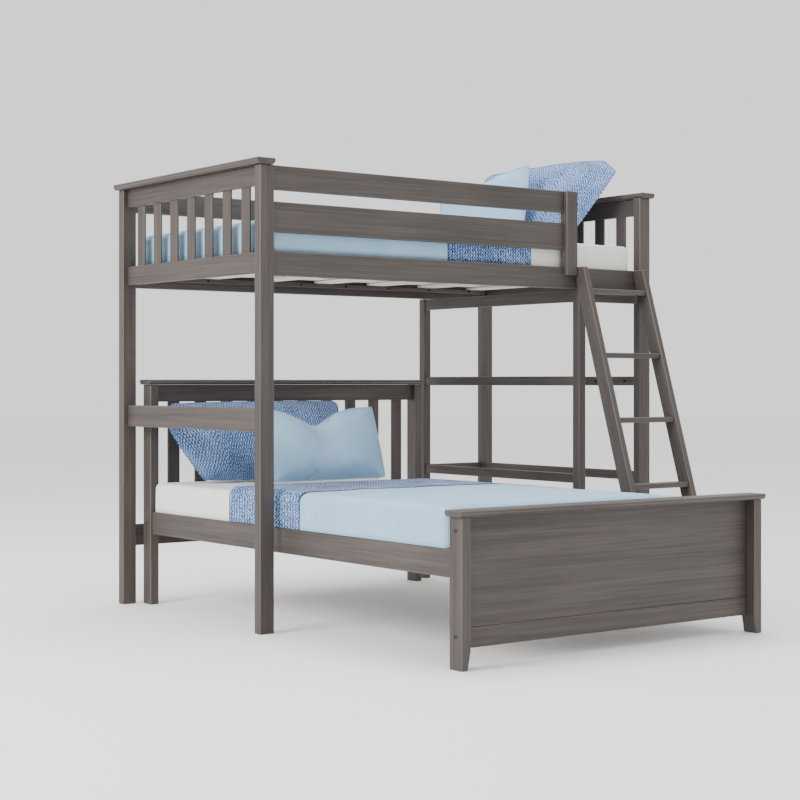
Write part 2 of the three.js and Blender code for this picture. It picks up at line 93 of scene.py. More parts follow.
PILLOW_STEP = 0.0125
PILLOW_FRAMES = 26
PILLOW_CLOTH = {
    "quality": 5,
    "mass": 0.25,
    "tension_stiffness": 60,
    "compression_stiffness": 60,
    "shear_stiffness": 12,
    "bending_stiffness": 0.15,
    "use_pressure": True,
    "uniform_pressure_force": 6.0,
}
PILLOW_SOFT = 0.006
PILLOW_SEAM_RADIUS = 0.002
SEAM_FLAT = 0.9  # how far the seam is drawn into the pillow's middle plane
FOLD_REACH = 0.2  # how much of a fold past the seam is kept
ENVELOPE_WIDER, ENVELOPE_TALLER = 1.05, 1.08  # flat envelope against the filled pillow
TAPER_POWER = 1.4
CUT_STEEPNESS = 1.5

FOOT_BOLTS = (0.109, 0.451)  # heights of the plugs in the lower bed's posts
HEAD_BOLTS = (0.342,)
PLUG_RADIUS = 0.006
SCREW_RADIUS = 0.0055
BOLT_RADIUS = 0.006
LEDGE_SCREWS = 8  # in each ledge of the upper bed
LEDGE_SCREW_INSET = 0.1
UNDER_RAIL_SCREWS = (0.058, 0.236)  # from the front end of the right middle rail
STILE_BOLT_STEP = 0.014  # bolts stand this far to both sides of the guard stile's middle
STILE_BOLT_DROP = 0.017  # below the top of the bunk's side rail
HEAD_PROFILE = (  # distance from the axis and height of a head's rings, in radii
    (1.0, 0.0),
    (1.0, 0.22),
    (0.86, 0.48),
    (0.6, 0.62),
    (0.42, 0.64),
    (0.40, 0.2),
    (0.0, 0.2),
)

CAMERA_AT = (-4.416, -5.1911, 0.9299)
CAMERA_HEADING = 35.66
CAMERA_LENS = 75.43
CAMERA_SHIFT = (0.0875, -0.0218)


# ---- camera, floor and light ------------------------------------------------------------------
def make_camera():
    data = bpy.data.cameras.new("camera")
    data.lens = CAMERA_LENS
    data.sensor_width = 36
    data.shift_x, data.shift_y = CAMERA_SHIFT
    camera = bpy.data.objects.new("camera", data)
    camera.location = CAMERA_AT
    camera.rotation_euler = (math.radians(90), 0, math.radians(-CAMERA_HEADING))
    scene.collection.objects.link(camera)
    scene.camera = camera


def make_floor():
    bm = bmesh.new()
    bmesh.ops.create_circle(bm, cap_ends=True, segments=96, radius=40)
    mesh = bpy.data.meshes.new("floor")
    bm.to_mesh(mesh)
    bm.free()
    floor = bpy.data.objects.new("floor", mesh)
    floor.location.z = -0.0005
    scene.collection.objects.link(floor)
    material, shader = new_material("floor_paint")
    shader.inputs["Base Color"].default_value = (0.95, 0.95, 0.95, 1)
    shader.inputs["Roughness"].default_value = 0.85
    mesh.materials.append(material)


def area_light(name, at, towards, size, power):
    data = bpy.data.lights.new(name, "AREA")
    data.shape = "DISK"
    data.size = size
    data.energy = power
    light = bpy.data.objects.new(name, data)
    light.location = at
    light.rotation_euler = (Vector(towards) - Vector(at)).to_track_quat("-Z", "Y").to_euler()
    scene.collection.objects.link(light)


def make_light():
    world = bpy.data.worlds.new("studio")
    world.use_nodes = True
    sky = world.node_tree.nodes["Background"]
    sky.inputs["Color"].default_value = (1, 1, 1, 1)
    sky.inputs["Strength"].default_value = 1.3
    scene.world = world
    middle = (0, 0, 0.9)
    area_light("key", (-7.0, -0.6, 4.2), middle, 3.5, 520)
    area_light("front", (-2.5, -7.0, 5.0), middle, 4.0, 12)
    area_light("top", (0.5, 0.5, 6.0), middle, 4.0, 220)


# ---- materials --------------------------------------------------------------------------------
def new_material(name):
    material = bpy.data.materials.new(name)
    material.use_nodes = True
    return material, material.node_tree.nodes["Principled BSDF"]


class Nodes:
    """Short calls for building one material's node tree."""

    def __init__(self, material):
        self.tree = material.node_tree

    def add(self, kind, **settings):
        node = self.tree.nodes.new(kind)
        for key, value in settings.items():
            setattr(node, key, value)
        return node

    def link(self, source, target):
        self.tree.links.new(source, target)

    def attribute(self, name):
        return self.add("ShaderNodeAttribute", attribute_name=name)

    def scaled(self, vector, scale):
        node = self.add("ShaderNodeVectorMath", operation="MULTIPLY")
        self.link(vector, node.inputs[0])
        node.inputs[1].default_value = scale
        return node.outputs[0]

    def dot(self, vector, direction):
        node = self.add("ShaderNodeVectorMath", operation="DOT_PRODUCT")
        self.link(vector, node.inputs[0])
        node.inputs[1].default_value = direction
        return node.outputs["Value"]

    def noise(self, vector, scale=1.0, detail=4.0, rough=0.55, warp=0.0):
        node = self.add("ShaderNodeTexNoise")
        self.link(vector, node.inputs["Vector"])
        node.inputs["Scale"].default_value = scale
        node.inputs["Detail"].default_value = detail
        node.inputs["Roughness"].default_value = rough
        node.inputs["Distortion"].default_value = warp
        return node.outputs["Fac"]

    def math(self, operation, first, second=None, third=None):
        node = self.add("ShaderNodeMath", operation=operation)
        for socket, value in zip(node.inputs, (first, second, third)):
            if value is None:
                continue
            if isinstance(value, (int, float)):
                socket.default_value = value
            else:
                self.link(value, socket)
        return node.outputs[0]

    def spread(self, value, low, high, to_low=0.0, to_high=1.0):
        node = self.add("ShaderNodeMapRange")
        self.link(value, node.inputs["Value"])
        node.inputs["From Min"].default_value = low
        node.inputs["From Max"].default_value = high
        node.inputs["To Min"].default_value = to_low
        node.inputs["To Max"].default_value = to_high
        return node.outputs["Result"]

    def ramp(self, value, stops):
        node = self.add("ShaderNodeValToRGB")
        self.link(value, node.inputs["Fac"])
        elements = node.color_ramp.elements
        while len(elements) < len(stops):
            elements.new(0.5)
        for element, (place, color) in zip(elements, stops):
            element.position = place
            element.color = (*color, 1)
        return node.outputs["Color"]

    def mix(self, share, first, second, blend="MIX"):
        node = self.add("ShaderNodeMix", data_type="RGBA", blend_type=blend)
        for place, value in ((0, share), (6, first), (7, second)):
            socket = node.inputs[place]
            if isinstance(value, tuple):
                socket.default_value = (*value, 1)
            elif isinstance(value, (int, float)):
                socket.default_value = value
            else:
                self.link(value, socket)
        return node.outputs[2]

    def bump(self, height, distance, strength=1.0):
        node = self.add("ShaderNodeBump")
        self.link(height, node.inputs["Height"])
        node.inputs["Distance"].default_value = distance
        node.inputs["Strength"].default_value = strength
        return node.outputs["Normal"]


def wood_material(name, dark, middle, light, edge, roughness, wear_and_highlight=0.55):
    """Wood with long soft bands, fine streaks and short pores along the attribute "grain"."""
    material, shader = new_material(name)
    n = Nodes(material)
    grain = n.attribute("grain").outputs["Vector"]
    bands = n.noise(n.scaled(grain, (0.9, 22, 22)), 1.0, 3.0, 0.5, 0.6)
    streaks = n.noise(n.scaled(grain, (3.0, 150, 150)), 1.0, 5.0, 0.62)
    fine = n.noise(n.scaled(grain, (14, 900, 900)), 1.0, 2.0, 0.5)
    patches = n.noise(n.scaled(grain, (2.2, 5, 5)), 1.0, 2.0, 0.5)
    tone = n.math("MULTIPLY_ADD", streaks, 0.55, n.math("MULTIPLY", bands, 0.45))
    tone = n.math("MULTIPLY_ADD", n.math("SUBTRACT", fine, 0.5), 0.22, tone)
    color = n.ramp(n.spread(tone, 0.32, 0.68), [(0.0, dark), (0.5, middle), (1.0, light)])
    cloudy = n.spread(patches, 0.3, 0.7, 0.9, 1.1)
    shade = n.add("ShaderNodeCombineColor")
    for socket in shade.inputs[:3]:
        n.link(cloudy, socket)
    color = n.mix(1.0, color, shade.outputs[0], "MULTIPLY")
    # The rounded edges (attribute "edge") blend towards the colour edge: partly worn stain, partly
    # a painted highlight.
    rubbed_and_highlit = n.spread(streaks, 0.3, 0.7, wear_and_highlight * 0.5, wear_and_highlight)
    worn_and_highlit = n.math("MULTIPLY", n.attribute("edge").outputs["Fac"], rubbed_and_highlit)
    color = n.mix(worn_and_highlit, color, edge)
    n.link(color, shader.inputs["Base Color"])
    gloss = n.spread(streaks, 0.3, 0.7, roughness + 0.06, roughness - 0.06)
    n.link(gloss, shader.inputs["Roughness"])
    height = n.math("MULTIPLY_ADD", fine, 0.4, streaks)
    n.link(n.bump(height, 0.0006), shader.inputs["Normal"])
    shader.inputs["Specular IOR Level"].default_value = 0.42
    return material


def cloth_material(name, color, deep, weave=900.0, bump=0.0005, sheen=0.25):
    """A plain woven cloth whose threads follow the attribute "cloth"."""
    material, shader = new_material(name)
    n = Nodes(material)
    place = n.attribute("cloth").outputs["Vector"]
    soft = n.noise(place, 7.0, 3.0, 0.5)
    slub = n.noise(n.scaled(place, (420, 60, 60)), 1.0, 2.0, 0.5)
    parts = [n.math("SINE", n.dot(place, tuple(weave * c for c in axis))) for axis in (X, Y, Z)]
    threads = n.math("ADD", n.math("ADD", parts[0], parts[1]), parts[2])
    tone = n.math("MULTIPLY_ADD", n.math("SUBTRACT", slub, 0.5), 0.5, soft)
    tone = n.math("MULTIPLY_ADD", threads, 0.03, tone)
    n.link(n.mix(n.spread(tone, 0.25, 0.75), deep, color), shader.inputs["Base Color"])
    shader.inputs["Roughness"].default_value = 0.85
    shader.inputs["Specular IOR Level"].default_value = 0.25
    shader.inputs["Sheen Weight"].default_value = sheen
    shader.inputs["Sheen Roughness"].default_value = 0.5
    n.link(n.bump(threads, bump), shader.inputs["Normal"])
    return material


def denim_material(name, deep, middle, pale):
    """Chambray: a coarse uneven twill with pale flecks, laid out by the attribute "cloth"."""
    material, shader = new_material(name)
    n = Nodes(material)
    place = n.attribute("cloth").outputs["Vector"]
    twist = n.noise(place, 60.0, 2.0, 0.5)
    waves = []
    for axis in DENIM_DIRECTIONS:
        across = n.dot(place, tuple(DENIM_TWILL * c for c in axis))
        waves.append(n.math("SINE", n.math("MULTIPLY_ADD", twist, 2.4, across)))
    twill = n.math("ADD", n.math("ADD", waves[0], waves[1]), waves[2])
    flecks = n.noise(n.scaled(place, (150, 105, 150)), 1.0, 2.0, 0.6)
    cloud = n.noise(place, 8.0, 2.0, 0.5)
    tone = n.math("MULTIPLY_ADD", twill, 0.10, flecks)
    tone = n.math("MULTIPLY_ADD", n.math("SUBTRACT", cloud, 0.5), 0.25, tone)
    color = n.ramp(n.spread(tone, 0.30, 0.74), [(0.0, deep), (0.45, middle), (1.0, pale)])
    n.link(color, shader.inputs["Base Color"])
    shader.inputs["Roughness"].default_value = 0.9
    shader.inputs["Specular IOR Level"].default_value = 0.2
    shader.inputs["Sheen Weight"].default_value = 0.12
    n.link(n.bump(tone, 0.0016, 0.8), shader.inputs["Normal"])
    return material


def plain_material(name, color, roughness, metallic=0.0):
    """Moulded or metal hardware with a slightly uneven surface."""
    material, shader = new_material(name)
    n = Nodes(material)
    place = n.add("ShaderNodeTexCoord").outputs["Object"]
    speckle = n.noise(place, 900.0, 2.0, 0.5)
    darker = tuple(c * 0.7 for c in color)
    n.link(n.mix(n.spread(speckle, 0.3, 0.7), darker, color), shader.inputs["Base Color"])
    shader.inputs["Roughness"].default_value = roughness
    shader.inputs["Metallic"].default_value = metallic
    n.link(n.bump(speckle, 0.0001), shader.inputs["Normal"])
    return material


# Each edge colour is the colour of the lighter rounded edges: worn stain plus a painted highlight.
stained = wood_material(
    "stained_wood",
    dark=(0.038, 0.030, 0.026),
    middle=(0.060, 0.0485, 0.0425),
    light=(0.084, 0.069, 0.061),
    edge=(0.17, 0.147, 0.131),
    roughness=0.5,
)
pale = wood_material(
    "pale_wood",
    dark=(0.70, 0.61, 0.52),
    middle=(0.82, 0.75, 0.67),
    light=(0.90, 0.85, 0.78),
    edge=(0.90, 0.85, 0.78),
    roughness=0.65,
    wear_and_highlight=0.3,
)
ticking = cloth_material(
    "mattress_ticking",
    (0.88, 0.87, 0.85),
    (0.81, 0.80, 0.78),
    weave=1600.0,
    bump=0.0003,
    sheen=0.1,
)
blue = cloth_material(
    "blue_percale", (0.38, 0.58, 0.75), (0.31, 0.50, 0.68), weave=1500.0, bump=0.0003, sheen=0.15
)
denim = denim_material(
    "denim_chambray",
    deep=(0.010, 0.022, 0.070),
    middle=(0.070, 0.150, 0.340),
    pale=(0.44, 0.57, 0.82),
)
# Dark blue piping. Its dark colour stands partly for the piping and partly for a painted shadow
# line where blanket and throw meet.
piping_and_shade_line = cloth_material(
    "denim_piping_and_shade_line", (0.05, 0.09, 0.22), (0.03, 0.05, 0.13), weave=1500.0, bump=0.0003, sheen=0.1
)
webbing = cloth_material(
    "slat_webbing", (0.70, 0.70, 0.68), (0.55, 0.55, 0.53), weave=1200.0, bump=0.0004, sheen=0.0
)
black_steel = plain_material("black_steel", (0.02, 0.02, 0.02), 0.4, 0.9)
plug_wood = plain_material("plug_wood", (0.035, 0.027, 0.023), 0.6)


# ---- pieces ------------------------------------------------------------------------------------
def as_piece(name, bm, material, replaced=()):
    mesh = bpy.data.meshes.new(name)
    bm.to_mesh(mesh)
    bm.free()
    mesh.materials.append(material)
    piece = bpy.data.objects.new(name, mesh)
    scene.collection.objects.link(piece)
    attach(piece, "root")
    if replaced:
        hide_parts(*replaced)
    return piece


def grain_axes(along):
    first = along.normalized()
    helper = Y if abs(first.z) > 0.9 else Z
    second = first.cross(helper).normalized()
    return first, second, first.cross(second)


def work_timber(bm, along, radius, seed):
    """Rounds the sharp outer edges and writes the attributes that the wood material reads."""
    sharp = []
    for side in bm.edges:
        if len(side.link_faces) == 2 and side.is_convex and side.calc_face_angle() > SHARP_ANGLE:
            sharp.append(side)
    made = bmesh.ops.bevel(
        bm,
        geom=sharp,
        offset=radius,
        offset_type="OFFSET",
        segments=3,
        profile=0.5,
        affect="EDGES",
        clamp_overlap=True,
        loop_slide=True,
        material=-1,
    )
    rounded = set(made["faces"])
    for face in bm.faces:
        face.smooth = face in rounded
    edge = bm.verts.layers.float.new("edge")
    grain = bm.verts.layers.float_vector.new("grain")
    chance = random.Random(seed)
    shift = Vector((chance.uniform(-30, 30), chance.uniform(-5, 5), chance.uniform(-5, 5)))
    axes = grain_axes(along)
    for vert in bm.verts:
        vert[edge] = float(all(face in rounded for face in vert.link_faces))
        vert[grain] = Vector([vert.co.dot(axis) for axis in axes]) + shift


def cad_copy(node):
    bm = bmesh.new()
    bm.from_mesh(nodes[node].data)
    bmesh.ops.remove_doubles(bm, verts=bm.verts, dist=1e-5)
    bmesh.ops.dissolve_limit(bm, angle_limit=math.radians(1), verts=bm.verts, edges=bm.edges)
    return bm


def timber(node, along, radius=EDGE_ROUND):
    bm = cad_copy(node)
    work_timber(bm, along, radius, node)
    as_piece(f"{node}_timber", bm, stained, [node])


def add_box(bm, low, high):
    for vert in bmesh.ops.create_cube(bm, size=1)["verts"]:
        vert.co = Vector((low[i] if vert.co[i] < 0 else high[i]) for i in range(3))


def gather(parts):
    """One mesh of several worked boards."""
    whole = bmesh.new()
    whole.verts.layers.float.new("edge")
    whole.verts.layers.float_vector.new("grain")
    for part in parts:
        mesh = bpy.data.meshes.new("part")
        part.to_mesh(mesh)
        part.free()
        whole.from_mesh(mesh)
        bpy.data.meshes.remove(mesh)
    return whole


def board(low, high, along, radius, seed):
    bm = bmesh.new()
    add_box(bm, low, high)
    work_timber(bm, along, radius, seed)
    return bm


def slatted_panel(node, run_axis, top_rail, low_rail, count):
    """Two rails and a row of upright slats in the place of a panel of the frame."""
    low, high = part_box(node)
    across = 1 - run_axis
    middle = (low[across] + high[across]) / 2
    run = X if run_axis == 0 else Y
    parts = []
    rails = (("top", high.z - top_rail, high.z), ("low", low.z, low.z + low_rail))
    for name, bottom, top in rails:
        a, b = low.copy(), high.copy()
        a.z, b.z = bottom, top
        parts.append(board(a, b, run, SLAT_ROUND, f"{node} {name}"))
    centre = (low[run_axis] + high[run_axis]) / 2
    for i in range(count):
        place = centre + (i - (count - 1) / 2) * SLAT_PITCH
        a, b = low.copy(), high.copy()
        a[run_axis], b[run_axis] = place - SLAT_WIDE / 2, place + SLAT_WIDE / 2
        a[across], b[across] = middle - SLAT_THICK / 2, middle + SLAT_THICK / 2
        a.z, b.z = low.z + low_rail - TENON, high.z - top_rail + TENON
        parts.append(board(a, b, Z, SLAT_ROUND, f"{node} {i}"))
    as_piece(f"{node}_timber", gather(parts), stained, [node])


def slat_roll(node, run_axis):
    """Loose bed slats held at their spacing by two straps of webbing."""
    low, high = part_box(node)
    across = 1 - run_axis
    pitch = (high[run_axis] - low[run_axis] - BED_SLAT_WIDE) / (BED_SLATS - 1)
    lie = Y if across == 1 else X
    parts = []
    for i in range(BED_SLATS):
        a, b = low.copy(), high.copy()
        a[run_axis] = low[run_axis] + i * pitch
        b[run_axis] = a[run_axis] + BED_SLAT_WIDE
        b.z = high.z - STRAP_THICK
        parts.append(board(a, b, lie, SLAT_ROUND, f"{node} {i}"))
    as_piece(f"{node}_timber", gather(parts), pale, [node])
    straps = bmesh.new()
    for share in STRAP_PLACES:
        a, b = low.copy(), high.copy()
        place = low[across] + share * (high[across] - low[across])
        a[across], b[across] = place - STRAP_WIDE / 2, place + STRAP_WIDE / 2
        a.z = high.z - STRAP_THICK
        add_box(straps, a, b)
    write_cloth(straps)
    as_piece(f"{node}_webbing", straps, webbing)


def write_cloth(bm):
    """Threads that follow the piece's place in space, for straight and boxy cloth."""
    layer = bm.verts.layers.float_vector.new("cloth")
    for vert in bm.verts:
        vert[layer] = vert.co


def make_frame():
    for side in ("front", "back"):
        for end in ("left", "right"):
            timber(f"bunk_post_{side}_{end}", Z)
        timber(f"under_post_{side}", Z)
    for end in ("left", "right"):
        timber(f"bunk_cap_{end}", Y, SLAT_ROUND)
        slatted_panel(f"bunk_end_panel_{end}", 1, PANEL_TOP_RAIL, PANEL_LOW_RAIL, 7)
        timber(f"lower_side_rail_{end}", Y)
        timber(f"headboard_post_{end}", Z)
        timber(f"footboard_post_{end}", Z)
    timber("bunk_end_brace_left", Y)
    for node in ("bunk_side_rail_front", "bunk_side_rail_back", "back_stretcher"):
        timber(node, X)
    for node in ("guard_rail_front_top", "guard_rail_front_low", "guard_rail_back"):
        timber(node, X)
    timber("guard_stile", Z)
    for level in ("low", "mid", "top"):
        timber(f"under_rail_left_{level}", Y)
        if level != "top":
            timber(f"under_rail_right_{level}", Y)
            timber(f"under_rail_back_{level}", X)
    timber("under_rail_front_top", X)
    slatted_panel("headboard_panel", 0, HEAD_TOP_RAIL, HEAD_LOW_RAIL, 10)
    for node in ("headboard_cap", "footboard_cap"):
        timber(node, X, SLAT_ROUND)
    timber("footboard_low_rail", X)
    timber("footboard_panel", X, SLAT_ROUND)
    timber("centre_beam", Y)
    slat_roll("bed_slats_upper", 0)
    slat_roll("bed_slats_lower", 1)


def make_ladder():
    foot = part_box("ladder_tread_1")[0]
    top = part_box("ladder_tread_5")[0]
    lean = Vector((0, top.y - foot.y, top.z - foot.z))
    for side in ("left", "right"):
        timber(f"ladder_stringer_{side}", lean)
    for i in range(1, 6):
        timber(f"ladder_tread_{i}", X)


# ---- mattresses and covers ---------------------------------------------------------------------
def stops(low, high, radius, rounded, opened):
    """Places along one side of a rounded box, close together at rounded corners and open edges."""
    turn = [radius * math.tan(math.radians(a)) for a in (45, 36, 27, 18, 9)]
    edge = [HEM_ROLL * (1 - math.cos(math.radians(a))) for a in (0, 20, 38, 54, 72)]
    begin = low + (radius if rounded[0] else HEM_ROLL if opened[0] else 0)
    end = high - (radius if rounded[1] else HEM_ROLL if opened[1] else 0)
    count = max(1, round((end - begin) / CLOTH_STEP))
    places = [begin + (end - begin) * i / count for i in range(count + 1)]
    if rounded[0]:
        places = [begin - t for t in turn] + places
    elif opened[0]:
        places = [low + e for e in edge] + places
    if rounded[1]:
        places = places + [end + t for t in reversed(turn)]
    elif opened[1]:
        places = places + [high - e for e in reversed(edge)]
    return places


def skin(low, high, radius, rounded, opened, sides):
    """The named sides of a box with the named edges rounded, as points with their outward normals.

    A side is numbered twice its axis, plus one at the high end.
    """
    axes = []
    for i in range(3):
        ends = (2 * i, 2 * i + 1)
        round_ends = [end in rounded for end in ends]
        open_ends = [end in opened for end in ends]
        axes.append(stops(low[i], high[i], radius, round_ends, open_ends))
    bm = bmesh.new()
    normal_layer = bm.verts.layers.float_vector.new("out")

    def point(raw):
        inner = Vector(raw)
        for i in range(3):
            if 2 * i in rounded:
                inner[i] = max(inner[i], low[i] + radius)
            if 2 * i + 1 in rounded:
                inner[i] = min(inner[i], high[i] - radius)
        out = (Vector(raw) - inner).normalized()
        vert = bm.verts.new(inner + out * radius)
        vert[normal_layer] = out
        return vert

    for side in sides:
        axis, end = divmod(side, 2)
        fixed = high[axis] if end else low[axis]
        first, second = (axis + 1) % 3, (axis + 2) % 3
        grid = []
        for a in axes[first]:
            row = []
            for b in axes[second]:
                raw = [0.0, 0.0, 0.0]
                raw[axis], raw[first], raw[second] = fixed, a, b
                row.append(point(raw))
            grid.append(row)
        for i in range(len(grid) - 1):
            for j in range(len(grid[0]) - 1):
                corners = [grid[i][j], grid[i + 1][j], grid[i + 1][j + 1], grid[i][j + 1]]
                bm.faces.new(corners if end else corners[::-1])
    bmesh.ops.remove_doubles(bm, verts=bm.verts, dist=1e-5)
    for face in bm.faces:
        face.smooth = True
    return bm, normal_layer


def ripple(bm, layer, height, size, seed):
    """Moves a skin in and out by smooth noise; the cloth attribute keeps the unmoved places."""
    write_cloth(bm)
    shift = Vector((seed * 3.7, seed * 1.9, seed * 5.1))
    for vert in bm.verts:
        place = Vector((vert.co.x / size[0], vert.co.y / size[1], vert.co.z / size[2]))
        wave = noise.fractal(place + shift, 0.6, 2.0, 3)
        vert.co += vert[layer] * wave * height


def roll_hems(bm, layer, low, high, opened, side_depth, top_depth):
    """Turns the open edges of a cover down to the mattress below, in a quarter round."""
    for vert in bm.verts:
        out = vert[layer]
        depth = side_depth + (top_depth - side_depth) * max(0.0, out.z)
        for side in opened:
            axis, end = divmod(side, 2)
            share = (high[axis] - vert.co[axis] if end else vert.co[axis] - low[axis]) / HEM_ROLL
            if share < 1:
                reach = 1 - max(0.0, share)
                vert.co -= out * depth * (1 - math.sqrt(1 - reach * reach))


def lean_in(bm, layer, low, high, depth):
    """Lets the upright sides of a mattress lean in a little towards its top."""
    for vert in bm.verts:
        level = (vert.co.z - low.z) / (high.z - low.z)
        out = vert[layer].copy()
        out.z = 0
        vert.co -= out * depth * level * level


def sink_right(points, low, high):
    """The wide bed's right part slopes down gently towards that side."""
    for point in points:
        past = point.x - SHOULDER_AT
        fall = SHOULDER_SLOPE * (past + math.hypot(past, SHOULDER_SOFT)) / 2
        point.z -= fall * (point.z - low.z) / (high.z - low.z)


def mattress(node, seed, sinks):
    low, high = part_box(node)
    bm, layer = skin(low, high, MATTRESS_ROUND, (0, 1, 2, 3, 5), (), range(6))
    ripple(bm, layer, MATTRESS_UNEVEN, MATTRESS_WAVES, seed)
    lean_in(bm, layer, low, high, MATTRESS_LEAN)
    if sinks:
        sink_right([vert.co for vert in bm.verts], low, high)
    piece = as_piece(f"{node}_sewn", bm, ticking, [node])
    level = high.z - TAPE_DROP
    above_turn = MATTRESS_ROUND - TAPE_DROP
    reach = MATTRESS_ROUND - math.sqrt(MATTRESS_ROUND**2 - above_turn**2) + MATTRESS_LEAN
    a = Vector((low.x + reach, low.y + reach, level))
    b = Vector((high.x - reach, high.y - reach, level))
    loop = rounded_loop(a, b, MATTRESS_ROUND - reach)
    if sinks:
        sink_right(loop, low, high)
    cord(f"{piece.name}_tape", loop, TAPE_RADIUS, ticking)


def rounded_loop(low, high, radius):
    """A level rectangle with round corners; its long sides are cut up so that they can bend."""
    corners = []
    for cx, cy, start in ((1, 1, 0), (0, 1, 90), (0, 0, 180), (1, 0, 270)):
        centre_x = high.x - radius if cx else low.x + radius
        centre_y = high.y - radius if cy else low.y + radius
        centre = Vector((centre_x, centre_y, low.z))
        for step in range(7):
            angle = math.radians(start + 15 * step)
            corners.append(centre + Vector((math.cos(angle), math.sin(angle), 0)) * radius)
    points = []
    for here, after in zip(corners, corners[1:] + corners[:1]):
        pieces = max(1, round((after - here).length / (3 * CLOTH_STEP)))
        points += [here.lerp(after, i / pieces) for i in range(pieces)]
    return points


def cord(name, points, radius, material, closed=True):
    """A round cord along a line of points, as a mesh."""
    bm = bmesh.new()
    rings = []
    count = len(points)
    for i, here in enumerate(points):
        after = points[(i + 1) % count] if closed or i < count - 1 else here
        before = points[i - 1] if closed or i > 0 else here
        along = (after - before).normalized()
        side = along.cross(Z)
        if side.length < 0.2:
            side = along.cross(X if abs(along.x) < 0.5 else Y)
        side.normalize()
        lift = side.cross(along).normalized()
        ring = []
        for k in range(8):
            angle = 2 * math.pi * k / 8
            out = side * math.cos(angle) + lift * math.sin(angle)
            ring.append(bm.verts.new(here + out * radius))
        rings.append(ring)
    last = count if closed else count - 1
    for i in range(last):
        a, b = rings[i], rings[(i + 1) % count]
        for k in range(8):
            face = bm.faces.new((a[k], b[k], b[(k + 1) % 8], a[(k + 1) % 8]))
            face.smooth = True
    if not closed:
        bm.faces.new(rings[0])
        bm.faces.new(rings[-1][::-1])
    bmesh.ops.recalc_face_normals(bm, faces=bm.faces)
    write_cloth(bm)
    as_piece(name, bm, material)


def cover(node, material, opened, rests_on, height, seed, sinks):
    """A blanket or throw over a mattress, tucked down its sides; returns its head end's line."""
    low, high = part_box(node)
    low.z -= HEM_TUCK
    around = [s for s in (0, 1, 2, 3, 5) if s not in opened]
    inner_low, inner_high = low.copy(), high.copy()
    for side in around:
        i, end = divmod(side, 2)
        if end:
            inner_high[i] -= COVER_THICK
        else:
            inner_low[i] += COVER_THICK
    bm, layer = skin(inner_low, inner_high, COVER_ROUND, around, opened, around)
    ripple(bm, layer, height, COVER_WAVES, seed)
    under_low, under_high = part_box(rests_on)
    across = 1 - opened[-1] // 2
    side_depth = under_low[across] - inner_low[across] - COVER_CLEAR
    top_depth = inner_high.z - under_high.z - COVER_CLEAR
    head_edge = open_edge(bm, layer, opened[-1])
    roll_hems(bm, layer, low, high, opened, side_depth, top_depth)
    if sinks:
        sink_right([vert.co for vert in bm.verts] + head_edge, low, high)
    piece = as_piece(f"{node}_cloth", bm, material, [node])
    thick = piece.modifiers.new("thickness", "SOLIDIFY")
    thick.thickness = COVER_THICK - COVER_CLEAR
    thick.offset = 1
    drop = high.z - low.z
    size = high - low
    flat = [size.x, size.y]
    for side in around:
        i = side // 2
        if i < 2:
            flat[i] += drop - CORNER_SAVES * COVER_ROUND
    return head_edge


def open_edge(bm, layer, side):
    """A line along a cover's open end, from one side's hem over the top to the other's."""
    axis = side // 2
    across = 1 - axis
    level = max(vert.co[axis] for vert in bm.verts)
    outer = [vert for vert in bm.verts if vert.co[axis] > level - 0.001]
    edge = [vert.co + vert[layer] * PIPING_RADIUS / 2 for vert in outer]
    for point in edge:
        point[axis] += PIPING_RADIUS / 2
    low_z = min(point.z for point in edge)
    middle = sum(point[across] for point in edge) / len(edge)

    def turn(point):
        return math.atan2(point.z - low_z + 1e-4, point[across] - middle)

    return sorted(edge, key=turn)


def make_beds():
    mattress("mattress_upper", 1, False)
    mattress("mattress_lower", 2, True)
    for node, material, slot, opened, rests_on, height, seed in (
        ("blanket_upper", blue, "blue_cloth", (1,), "mattress_upper", 0.003, 3),
        ("throw_upper", denim, "denim_cloth", (0, 1), "mattress_upper", 0.002, 4),
        ("blanket_lower", blue, "blue_cloth", (3,), "mattress_lower", 0.003, 5),
        ("throw_lower", denim, "denim_cloth", (2, 3), "mattress_lower", 0.002, 6),
    ):
        sinks = rests_on == "mattress_lower"
        head_edge = cover(node, material, opened, rests_on, height, seed, sinks)
        # A dark cord along each blanket's head edge: piping, and also a painted shadow line at
        # that edge.
        if material == blue:
            cord(f"{node}_piping", head_edge, PIPING_RADIUS, piping_and_shade_line, closed=False)


# ---- pillows -----------------------------------------------------------------------------------
def pillow_axes(node):
    """A pillow's middle, size and directions: wide, up, and out of its upper face."""
    points = np.array([tuple(vert.co) for vert in nodes[node].data.vertices])
    centre = points.mean(axis=0)
    axes = [Vector(axis) for axis in np.linalg.svd(points - centre, full_matrices=False)[2]]
    wide, up = axes[0], axes[1] * math.copysign(1, axes[1].z)
    out = wide.cross(up)
    if out.z < 0:
        wide, out = -wide, -out
    size = []
    middle = Vector(centre)
    for axis in (wide, up, out):
        reach = (points - centre) @ np.array(axis)
        size.append(reach.max() - reach.min())
        middle += axis * float(reach.max() + reach.min()) / 2
    return middle, size, (wide, up, out)


